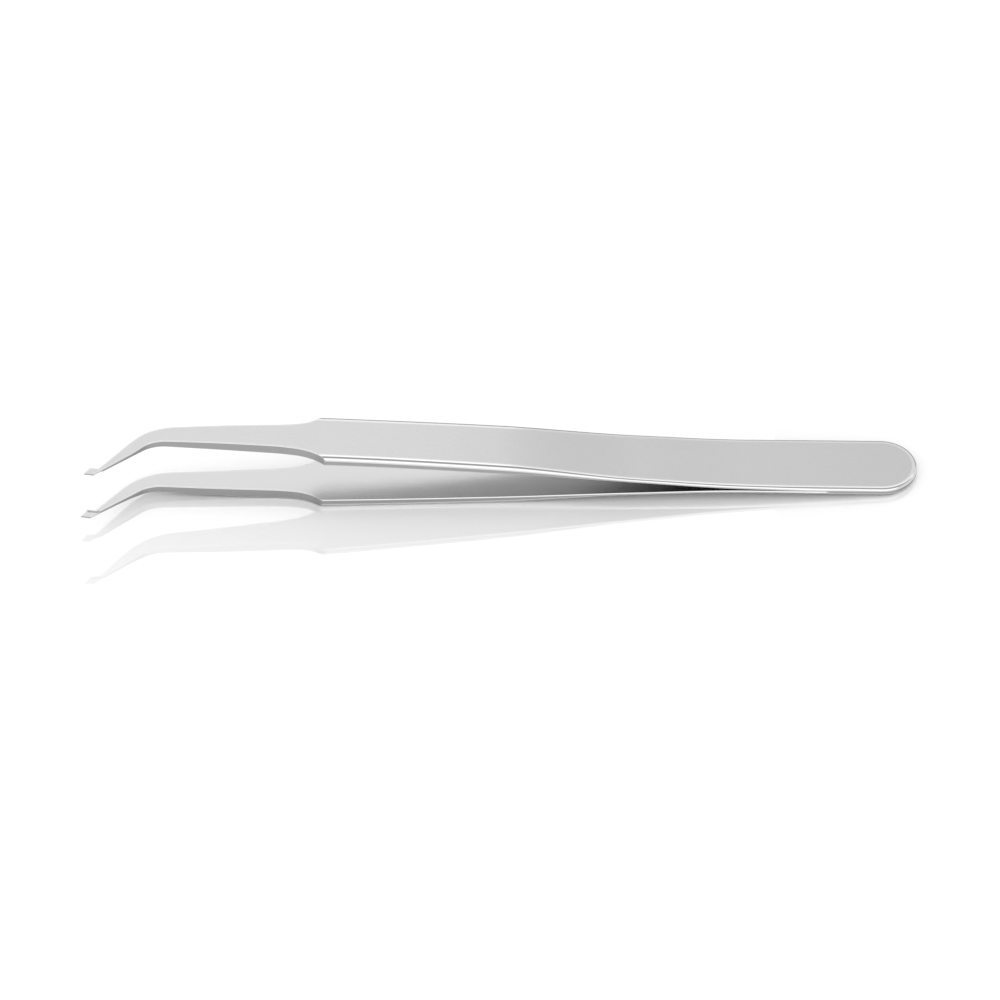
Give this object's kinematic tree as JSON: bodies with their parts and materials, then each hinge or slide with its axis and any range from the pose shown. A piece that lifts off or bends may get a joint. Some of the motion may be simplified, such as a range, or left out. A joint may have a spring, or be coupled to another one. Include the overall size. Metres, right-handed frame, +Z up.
{
  "type": "curved precision tweezers",
  "caption": "Stainless precision tweezers with spring leaves welded at the tail, a swelled finger grip and bent, paddle-ended fine tips for placing small parts.",
  "frame": {"origin": "middle of the footprint, on the table that the tweezers lie on", "axes": "+X along the tweezers towards the welded tail, -X towards the tips, -Y the side to which the tips are bent, +Z up from the table"},
  "size_m": [0.12, 0.0128, 0.0111],
  "materials": {
    "steel": "fine satin on the broad faces, polished on the rounded edges"
  },
  "bodies": {
    "root": {"upper_leaf": "steel", "lower_leaf": "steel"}
  },
  "joints": []
}
